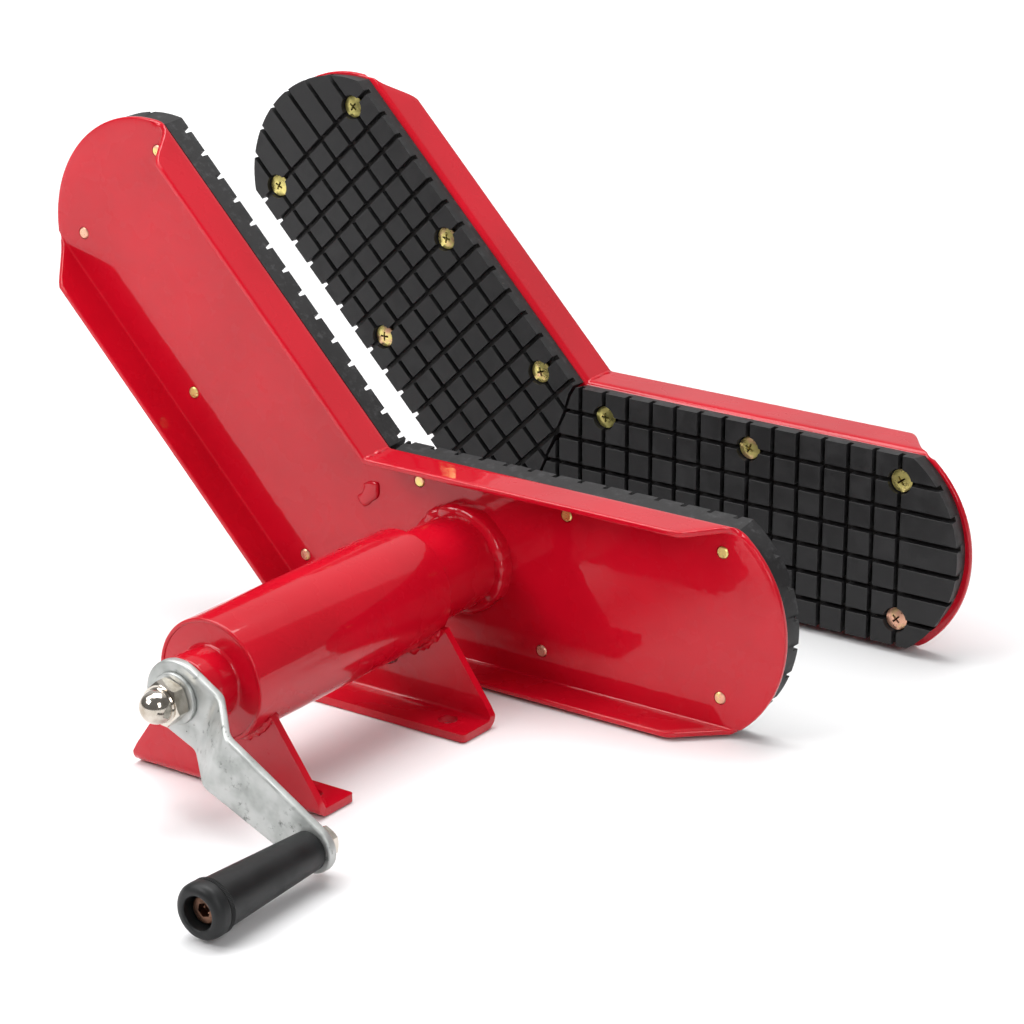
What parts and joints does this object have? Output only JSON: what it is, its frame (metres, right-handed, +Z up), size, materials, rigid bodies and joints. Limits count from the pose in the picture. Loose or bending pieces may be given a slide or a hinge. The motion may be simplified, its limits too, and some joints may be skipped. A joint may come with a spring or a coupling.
{
  "type": "motorcycle wheel clamp",
  "caption": "Screw-driven clamp that grips an upright motorcycle wheel between two V-shaped, rubber-faced steel jaws; a crank moves one jaw along a telescoping tube.",
  "frame": {"origin": "on the bench surface, on the rear foot's underside, below the tube's axis and in line with the foot's two bolt holes", "axes": "+Y along the tube from the crank towards the fixed jaw, +X to the right seen from the crank, +Z up"},
  "size_m": [0.4727, 0.5306, 0.258],
  "materials": {
    "red_paint": "gloss powder coat",
    "pad_rubber": "matte moulded rubber",
    "yellow_zinc": "yellow-passivated zinc on steel",
    "bronze": "machined bronze",
    "machined_steel": "machined",
    "crank_metal": "tumbled zinc plate",
    "bright_nickel": "bright nickel plate",
    "grip_plastic": "satin moulded"
  },
  "bodies": {
    "housing": {"outer_tube": "red_paint", "end_plate": "red_paint", "screw_boss": "red_paint", "screw_bush": "bronze", "guide_bush": "bronze", "guide_screw": "machined_steel", "front_foot": "red_paint", "rear_foot": "red_paint", "fixed_jaw_plate": "red_paint", "fixed_lower_pad": "pad_rubber", "fixed_upper_pad": "pad_rubber", "fixed_lower_screw_1": "yellow_zinc", "fixed_lower_screw_2": "yellow_zinc", "fixed_lower_screw_3": "yellow_zinc", "fixed_lower_screw_4": "yellow_zinc", "fixed_lower_screw_5": "yellow_zinc", "fixed_lower_screw_6": "yellow_zinc", "fixed_upper_screw_1": "yellow_zinc", "fixed_upper_screw_2": "yellow_zinc", "fixed_upper_screw_3": "yellow_zinc", "fixed_upper_screw_4": "yellow_zinc", "fixed_upper_screw_5": "yellow_zinc", "fixed_upper_screw_6": "yellow_zinc", "fixed_post": "red_paint", "fixed_post_cap": "red_paint", "fixed_foot": "red_paint"},
    "moving_jaw": {"inner_tube": "red_paint", "drive_nut": "bronze", "moving_jaw_plate": "red_paint", "moving_lower_pad": "pad_rubber", "moving_upper_pad": "pad_rubber", "moving_lower_screw_1": "yellow_zinc", "moving_lower_screw_2": "yellow_zinc", "moving_lower_screw_3": "yellow_zinc", "moving_lower_screw_4": "yellow_zinc", "moving_lower_screw_5": "yellow_zinc", "moving_lower_screw_6": "yellow_zinc", "moving_upper_screw_1": "yellow_zinc", "moving_upper_screw_2": "yellow_zinc", "moving_upper_screw_3": "yellow_zinc", "moving_upper_screw_4": "yellow_zinc", "moving_upper_screw_5": "yellow_zinc", "moving_upper_screw_6": "yellow_zinc"},
    "crank": {"lead_screw": "machined_steel", "thrust_washer": "bronze", "thrust_collar": "machined_steel", "crank_arm": "crank_metal", "crank_washer": "bright_nickel", "acorn_nut": "bright_nickel", "grip_bolt": "machined_steel", "grip_washer": "bright_nickel", "grip_nut": "bright_nickel"},
    "grip": {"grip": "grip_plastic"}
  },
  "joints": [
    {"name": "jaw_slide", "type": "slide", "parent": "housing", "child": "moving_jaw", "axis": [0, 1, 0], "range_m": [-0.03, 0.06]},
    {"name": "screw_turn", "type": "hinge", "parent": "housing", "child": "crank", "pos_m": [0, -0.15, 0.06], "axis": [0, 1, 0], "range_deg": [-2700, 5400]},
    {"name": "grip_spin", "type": "hinge", "parent": "crank", "child": "grip", "pos_m": [0.0891, -0.2, 0.0146], "axis": [0, 1, 0], "continuous": true}
  ],
  "couplings": [
    {"joint": "screw_turn", "follows": "jaw_slide", "rad_per_m": 1570.8}
  ]
}
